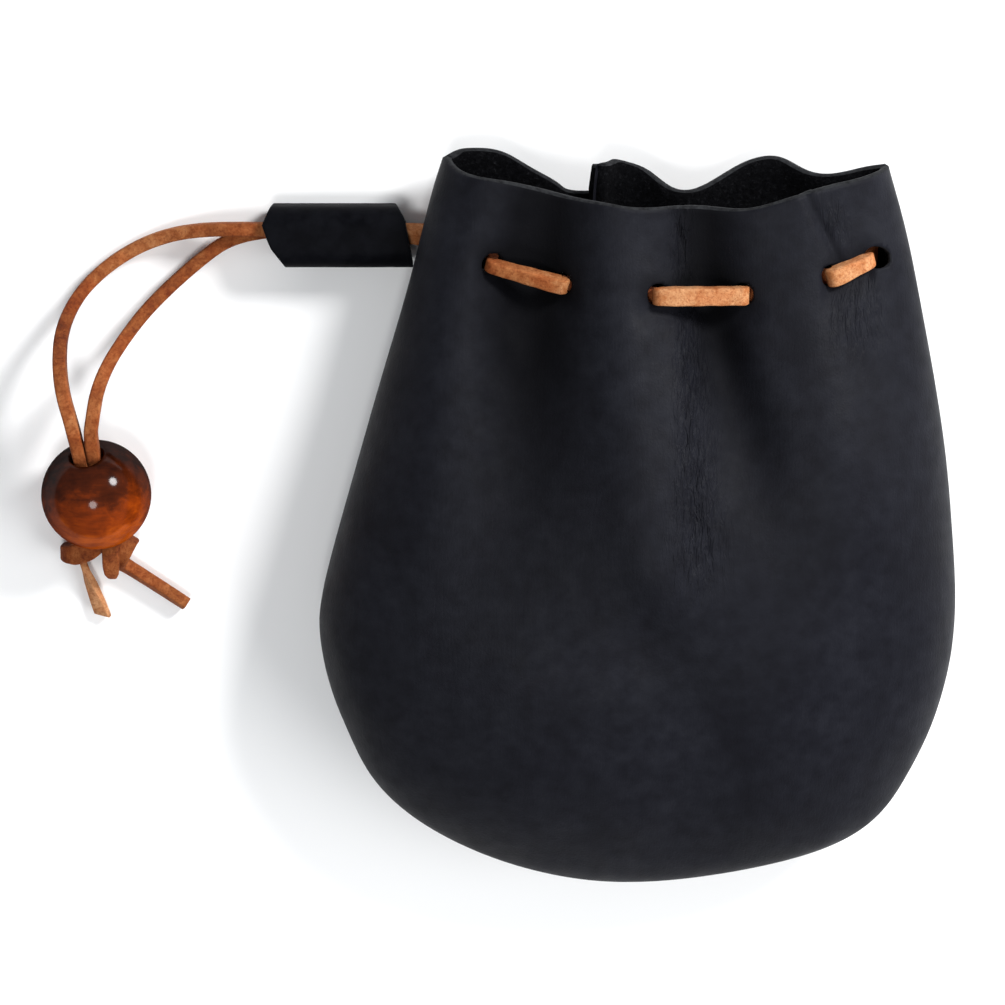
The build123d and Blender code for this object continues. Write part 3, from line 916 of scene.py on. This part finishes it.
PAST_BEAD, UNDER_BEAD, STRAND_STEP = 11.0, -8.6, 1.07
KNOT_A, KNOT_B = (-91.3, -7.0, 3.2), (-85.9, -7.4, 3.2)
EXIT_A, EXIT_B = (-26.8, 45.0, 6.6), (-12.0, 44.6, 6.3)
STRAND_A = [
    EXIT_A, (-30.2, 45.6, 5.1), (-37.6, 46.8, 6.4), (-51.0, 47.1, 6.35), (-63.5, 47.4, 6.2),
    (-72.6, 46.8, 3.6), (-79.2, 44.9, 1.65), (-84.7, 42.0, 1.65), (-89.2, 38.4, 2.6), (-92.1, 34.8, 5.0),
    (-93.8, 30.6, 8.3), (-93.9, 25.9, 11.7), (-93.2, 21.5, 14.1), (-91.9, 17.3, 15.1),
    in_bead(PAST_BEAD, -STRAND_STEP), in_bead(UNDER_BEAD, -STRAND_STEP), KNOT_A,
]
STRAND_B = [
    EXIT_B, (-15.8, 44.9, 3.2), (-23.0, 45.5, 1.65), (-31.8, 46.3, 2.0), (-38.8, 46.8, 3.2),
    (-50.0, 47.0, 3.15), (-59.5, 46.8, 3.1), (-66.5, 45.4, 3.1), (-71.6, 41.5, 1.9), (-76.7, 37.0, 2.3),
    (-80.5, 33.3, 4.6), (-83.6, 29.5, 8.0), (-86.0, 25.9, 11.3), (-87.6, 22.1, 14.0), (-88.3, 18.0, 15.1),
    in_bead(PAST_BEAD, STRAND_STEP), in_bead(UNDER_BEAD, STRAND_STEP), KNOT_B,
]
# Tone at each strand's control points: the lace's own variation, with painted light where strand a shows
# between the bag and the slide.
TONES_WITH_PAINTED_LIGHT_A = [
    0.50, 0.66, 0.84, 0.60, 0.45, 0.60, 0.64, 0.56, 0.44, 0.32, 0.28, 0.32, 0.50, 0.62, 0.50, 0.30, 0.30,
]
TONES_WITH_PAINTED_LIGHT_B = [
    0.42, 0.42, 0.45, 0.45, 0.45, 0.45, 0.45, 0.50, 0.46, 0.38, 0.36, 0.40, 0.46, 0.50, 0.54, 0.5, 0.3, 0.3,
]


def make_strands(material):
    """The two free strands, flat where they leave the bag and on edge from the slide on."""
    flat, edge = (0, 1, 0.05), (0, 0.05, 1)
    made = []
    for name, route, tones_with_painted_light in (("strand_a_lace", STRAND_A, TONES_WITH_PAINTED_LIGHT_A), ("strand_b_lace", STRAND_B, TONES_WITH_PAINTED_LIGHT_B)):
        path = nurbs_path(route)
        sides = [flat, flat] + [edge] * (len(route) - 2)
        made.append((lace_mesh(name, path, sides, material, tones_with_painted_light), path, route))
    return made


# Each knot from the strand's end to the tail's: place, way of the lace's width, tone with painted light,
# width and thickness.
KNOT_A_ROUTE = [
    ((-90.8, -3.6, 5.2), (1, 0, 0.5), 0.3, 3.0, 2.0), ((-89.6, -5.0, 2.8), (0.5, 1, 0.2), 0.3, 3.0, 1.9),
    ((-87.6, -4.4, 2.4), (-0.3, 1, 0), 0.30, 2.8, 1.9), ((-87.4, -4.6, 4.6), (-0.6, 1, 0), 0.3, 2.8, 1.9),
    ((-89.2, -5.7, 5.2), (-0.5, 1, 0), 0.38, 3.1, 2.0), ((-90.8, -6.7, 5.3), (-0.3, 1, 0), 0.44, 3.3, 2.0),
    ((-92.5, -7.1, 5.1), (0.0, 1, 0), 0.42, 3.4, 2.0), ((-94.2, -7.1, 4.9), (0.0, 1, 0), 0.34, 2.5, 1.9),
    ((-94.2, -7.1, 1.4), (0.0, 1, 0), 0.28, 2.3, 1.9), ((-92.8, -7.2, 1.3), (0.0, 1, 0), 0.26, 3.1, 1.8),
    # the tail from here: painted light makes it paler where it lies in the bead's shade
    ((-92.0, -7.8, 1.6), (0.1, 1, 0.6), 0.30, 2.4, 1.4), ((-91.6, -9.0, 2.0), (0.05, 0, 1), 0.6, 2.0, 1.2),
    ((-90.6, -12, 1.7), (0.25, 0, 1), 0.86, 1.9, 1.25), ((-88.5, -18.2, 1.2), (1, 0.1, 0.22), 0.94, 2.4, 1.4),
]
KNOT_B_ROUTE = [
    ((-86.1, -3.6, 5.0), (1, 0, 0.4), 0.30, 3.0, 2.0), ((-86.5, -5.2, 5.7), (1, 0, 0.2), 0.34, 2.8, 1.9),
    ((-86.6, -7.4, 5.6), (1, 0, 0), 0.44, 2.8, 1.9), ((-86.6, -9.7, 5.0), (1, 0, 0), 0.46, 2.5, 1.9),
    ((-86.5, -11.1, 3.6), (1, 0, 0), 0.40, 0.7, 1.7), ((-86.4, -9.8, 1.2), (1, 0, 0), 0.30, 2.1, 1.9),
    ((-86.0, -7.6, 1.2), (1, -0.6, 0), 0.28, 2.8, 1.8), ((-84.6, -6.0, 1.6), (0.9, -0.7, 0), 0.28, 3.0, 1.8),
    ((-83.5, -5, 2.6), (0.9, -0.6, 0), 0.28, 2.8, 1.8), ((-83.7, -5.2, 4.6), (0.9, -0.6, 0), 0.34, 2.8, 1.8),
    ((-84.8, -6.8, 4.9), (0.85, -0.5, 0), 0.4, 3.1, 1.8),
    ((-85.5, -8.5, 4), (0.8, -0.4, 0.2), 0.36, 2.9, 1.8),
    ((-85.6, -9, 2.5), (0.5, 0.2, 0.7), 0.36, 2.6, 1.9), ((-83.9, -10, 1.7), (0.25, 0.5, 1), 0.50, 2.8, 2.0),
    ((-74.5, -16.4, 1.5), (0.15, 0.4, 1), 0.50, 2.8, 1.95),
]


def make_knots(material):
    """The two knots with their tails, of which the first is cut off aslant."""
    made = []
    for name, route, cut in (("knot_a_lace", KNOT_A_ROUTE, 0.6), ("knot_b_lace", KNOT_B_ROUTE, 0.0)):
        places, sides, tones_with_painted_light, widths, thicks = zip(*route)
        path = nurbs_path(places, 10)
        made.append(lace_mesh(name, path, sides, material, tones_with_painted_light, widths, thicks, cut))
    return made


def make_woven_lace(front, back, material):
    """The lace in and out through both panels, diving steeply through each hole."""
    rise = LACE_T / 2
    route = []

    def add(place, side=(0, 1, 0), tone_with_painted_light=0.4, width=LACE_W):
        route.append((tuple(place), Vector(side), tone_with_painted_light, width))

    def beside(panel, x, y, above):
        place, normal = surface_at(panel, x, y)
        add(place + normal * above)

    def stitch(panel, ends, tones_with_painted_light=(0.85, 0.85), widths=(3.1, 3.1)):
        """Up through one hole, straight along the leather and down through the next, with crisp bends."""
        (x0, y0), (x1, y1) = ends
        middle_x, middle_y = (x0 + x1) / 2, (y0 + y1) / 2
        found = [surface_at(panel, *at) for at in ((x0, y0), (middle_x, middle_y), (x1, y1))]
        start, middle, end = (place for place, _ in found)
        mean = sum((normal for _, normal in found), Vector()).normalized()
        lift = max(0.0, (middle - (start + end) / 2).dot(mean))
        run = (end - start).normalized()
        side = mean.cross(run).normalized()
        side = -side if side.y < 0 else side
        over = rise - 0.15
        dive = Vector((0, -0.32, -0.95)) * (LEATHER + rise)
        # painted shade: the tone drops at each bend and to half where the lace dives into a hole
        add(start + dive + run * 0.5, side, tones_with_painted_light[0] * 0.5, widths[0] * 0.85)
        add(start + mean * (over - 0.35), side, tones_with_painted_light[0] * 0.8, widths[0])
        add(start + mean * over + run * 0.35, side, tones_with_painted_light[0], widths[0])
        add((start + end) / 2 + mean * (over + lift), side, sum(tones_with_painted_light) / 2, sum(widths) / 2)
        add(end + mean * over - run * 0.35, side, tones_with_painted_light[1], widths[1])
        add(end + mean * (over - 0.35), side, tones_with_painted_light[1] * 0.8, widths[1])
        add(end + dive - run * 0.5, side, tones_with_painted_light[1] * 0.5, widths[1] * 0.85)

    under = -LEATHER - rise - 0.3
    half_way, shaded = Vector((0, 0, LEATHER / 2)), 0.42
    add(EXIT_A, tone_with_painted_light=shaded)
    first, _ = surface_at(back, *BACK_HOLES[0][:2])
    add(first + half_way, tone_with_painted_light=shaded)
    add((-23.4, 44.6, 11.0))
    looks = (((0.56, 0.70), (2.2, 2.8)), ((0.86, 0.82), (2.9, 2.9)), ((0.84, 0.86), (3.0, 2.4)))
    for k, (ends, (tones_with_painted_light, widths)) in enumerate(zip(FRONT_STITCHES, looks)):
        stitch(front, ends, tones_with_painted_light, widths)
        if k < 2:
            (x0, y0), (x1, y1) = ends[1], FRONT_STITCHES[k + 1][0]
            beside(front, x0 + 3.0, y0, under)
            beside(front, x1 - 3.0, y1, under)
    add((38.0, 45.0, 13.4))
    add((36.4, 45.0, 10.8))
    for ends in BACK_STITCHES:
        (x0, y0), (x1, y1) = ends
        beside(back, x0 + 1.6, y0, under)
        stitch(back, ends)
        beside(back, x1 - 2.6, y1, under)
    beside(back, -7.6, 44.6, under)
    last, _ = surface_at(back, *BACK_HOLES[1][:2])
    add(last + half_way, tone_with_painted_light=shaded)
    add(EXIT_B, tone_with_painted_light=shaded)
    places, sides, tones_with_painted_light, widths = zip(*route)
    path = nurbs_path(places, 10)
    return lace_mesh("woven_lace", path, sides, material, tones_with_painted_light, widths)


# ---------------------------------------------------------------- bead, slide and thread

def make_bead(material):
    """A turned ball with an eased hole along its axis."""
    segments, steps = 96, 48
    mouth = math.asin(BEAD_HOLE_R / BEAD_R) + math.radians(3.0)
    profile = []
    for k in range(steps + 1):
        a = mouth + (math.pi - 2 * mouth) * k / steps
        profile.append((BEAD_R * math.sin(a), BEAD_R * math.cos(a)))
    reach = BEAD_R * math.cos(mouth)
    inner = [(BEAD_HOLE_R + 0.42 * share**2, -reach + 0.5 * (1 - share)) for share in (0.55, 0.2)]
    wall = [(BEAD_HOLE_R, -reach + 1.0 + (2 * reach - 2.0) * k / 6) for k in range(7)]
    loop = profile + inner + wall + [(r, -z) for r, z in reversed(inner)]
    points, faces = [], []
    deep = BEAD_AXIS.cross(BEAD_ACROSS)
    for k in range(segments):
        a = 2 * math.pi * k / segments
        out = BEAD_ACROSS * math.cos(a) + deep * math.sin(a)
        points += [BEAD_C + out * r + BEAD_AXIS * z for r, z in loop]
    n = len(loop)
    for k in range(segments):
        for c in range(n):
            a, b = k * n + c, k * n + (c + 1) % n
            other = ((k + 1) % segments) * n
            faces.append((a, b, other + (c + 1) % n, other + c))
    obj = add_mesh("wooden_bead", points, faces, [material])
    weld(obj)
    return obj


SLIDER_C = Vector((0, 46.1, 4.7))
SLIDER_W, SLIDER_H, SLIDER_T, SLIDER_ROUND = 10.1, 9.4, 1.3, 3.4


def slider_section():
    """The strip's middle line round the strands, from one edge below to the other: (y, z) and its normal."""
    w, h, r = SLIDER_W / 2 - SLIDER_T / 2, SLIDER_H / 2 - SLIDER_T / 2, SLIDER_ROUND - SLIDER_T / 2
    corners = ((w - r, -h + r, -90), (w - r, h - r, 0), (-w + r, h - r, 90), (-w + r, -h + r, 180))
    sides = {-90: (w, 0.0, 1, 0), 0: (0.0, h, 0, 1), 90: (-w, 0.0, -1, 0)}
    gap = 0.12
    line = [(gap, -h, 0, -1), ((w - r) / 2, -h, 0, -1)]
    for cy, cz, start in corners:
        for k in range(9):
            a = math.radians(start + 90 * k / 8)
            line.append((cy + r * math.cos(a), cz + r * math.sin(a), math.cos(a), math.sin(a)))
        if start in sides:
            line.append(sides[start])
    return line + [(-(w - r) / 2, -h, 0, -1), (-gap, -h, 0, -1)]


def make_slider(materials):
    """A strip wrapped round both strands, its ends cut with clipped corners."""

    def left(y):
        return float(np.interp(y, [-4.3, -1.2, 2.4, 6.35], [-57.3, -59.7, -60.9, -59.3]))

    def right(y):
        return float(np.interp(y, [-4.3, 3.4, 6.35], [-36.4, -37.7, -39.3]))

    section = slider_section()
    rows, columns = 37, len(section)
    points = []
    for layer in (SLIDER_T / 2, -SLIDER_T / 2):
        for r in range(rows):
            for y, z, normal_y, normal_z in section:
                y += normal_y * layer
                skewed = y + (SLIDER_H / 2 - z) * 0.21
                x = left(skewed) + (right(skewed) - left(skewed)) * r / (rows - 1)
                sag = 0.07 * math.sin(x * 0.45 + y * 0.6) if z > 0 else 0
                points.append(Vector((x, SLIDER_C.y + y, SLIDER_C.z + z + normal_z * layer + sag)))
    index = np.arange(2 * rows * columns).reshape(2, rows, columns)
    faces, slots = [], []
    for side in (0, 1):  # the grain outside and the flesh inside
        made = grid_faces(int(index[side, 0, 0]), rows, columns)
        faces += made
        slots += [side] * len(made)
    for border in (index[:, 0], index[:, -1], index[:, :, 0], index[:, :, -1]):
        outside, inside = border.tolist()
        made = list(zip(outside, outside[1:], inside[1:], inside))
        faces += made
        slots += [2] * len(made)
    obj = add_mesh("leather_slide", points, faces, materials, slots)
    weld(obj)
    bevel = obj.modifiers.new("soft edges", "BEVEL")
    bevel.width = 0.2 * MM
    bevel.segments = 2
    bevel.limit_method = "ANGLE"
    bevel.angle_limit = math.radians(50)
    return obj


def make_thread(grid, material):
    """Saddle stitches through both allowances, seen only from inside."""
    inset = LIP + 0.9
    pitch, long, radius = 3.6, 2.7, 0.32
    ring = 8
    shape = ((0.0, 0.35), (0.12, 0.8), (0.3, 1.0), (0.7, 1.0), (0.88, 0.8), (1.0, 0.35))
    points, faces = [], []

    def capsule(start, end):
        axis = (end - start).normalized()
        side = axis.cross(Vector((0, 0, 1)))
        side = side.normalized() if side.length > 0.1 else Vector((1, 0, 0))
        up = axis.cross(side)
        faces.extend(tube_faces(len(points), len(shape), ring))
        for share, wide in shape:
            for k in range(ring):
                a = 2 * math.pi * k / ring
                out = side * math.cos(a) + up * math.sin(a)
                points.append(start.lerp(end, share) + out * (radius * wide))

    for column, sign in ((LIPS, 1), (-LIPS - 1, -1)):
        seam = [Vector((p[0], p[1], SEAM_Z)) for p in grid[:, column]]
        travelled, placed = 0.0, 0.8
        for before, here in zip(seam[1:], seam[2:]):
            travelled += (here - before).length
            if travelled < placed or here.y > 55:
                continue
            placed += pitch
            along = (here - before).normalized()
            inward = Vector((along.y, -along.x, 0)) * sign
            for face in (1, -1):
                middle = here + inward * inset + Vector((0, 0, face * (LEATHER - SEAM_PRESS + radius * 0.4)))
                capsule(middle - along * long / 2, middle + along * long / 2)
    obj = add_mesh("seam_stitches", points, faces, [material])
    weld(obj)
    return obj


# ---------------------------------------------------------------- putting it together

make_camera()
make_studio()

grain, flesh, edge = grain_leather(), flesh_leather(), cut_edge()
lace = lace_leather()

strands = make_strands(lace)
knots = make_knots(lace)

front, front_grid = panel_solid("front_leather", True, FRONT_HOLES, [grain, flesh, edge])
back, back_grid = panel_solid("back_leather", False, BACK_HOLES, [grain, flesh, edge])
tag_leather(front)
woven = make_woven_lace(front_grid, back_grid, lace)
bead = make_bead(bead_wood())
slide = make_slider([slider_leather(), flesh, edge])
thread = make_thread(front_grid[0], seam_thread_material())

for piece, body, node, slot in (
    (front, "bag", "front_panel", "bag_leather"),
    (back, "bag", "back_panel", "bag_leather"),
    (woven, "bag", "lace_woven", "lace"),
    (thread, "bag", "seam_thread", "thread"),
    (strands[0][0], "bag", "strand_a", "lace"),
    (strands[1][0], "bag", "strand_b", "lace"),
    (knots[0], "bag", "knot_a", "lace"),
    (knots[1], "bag", "knot_b", "lace"),
    (bead, "bead", "bead", "bead_wood"),
    (slide, "slider", "slider", "slider_leather"),
):
    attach(piece, body)
    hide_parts(node)
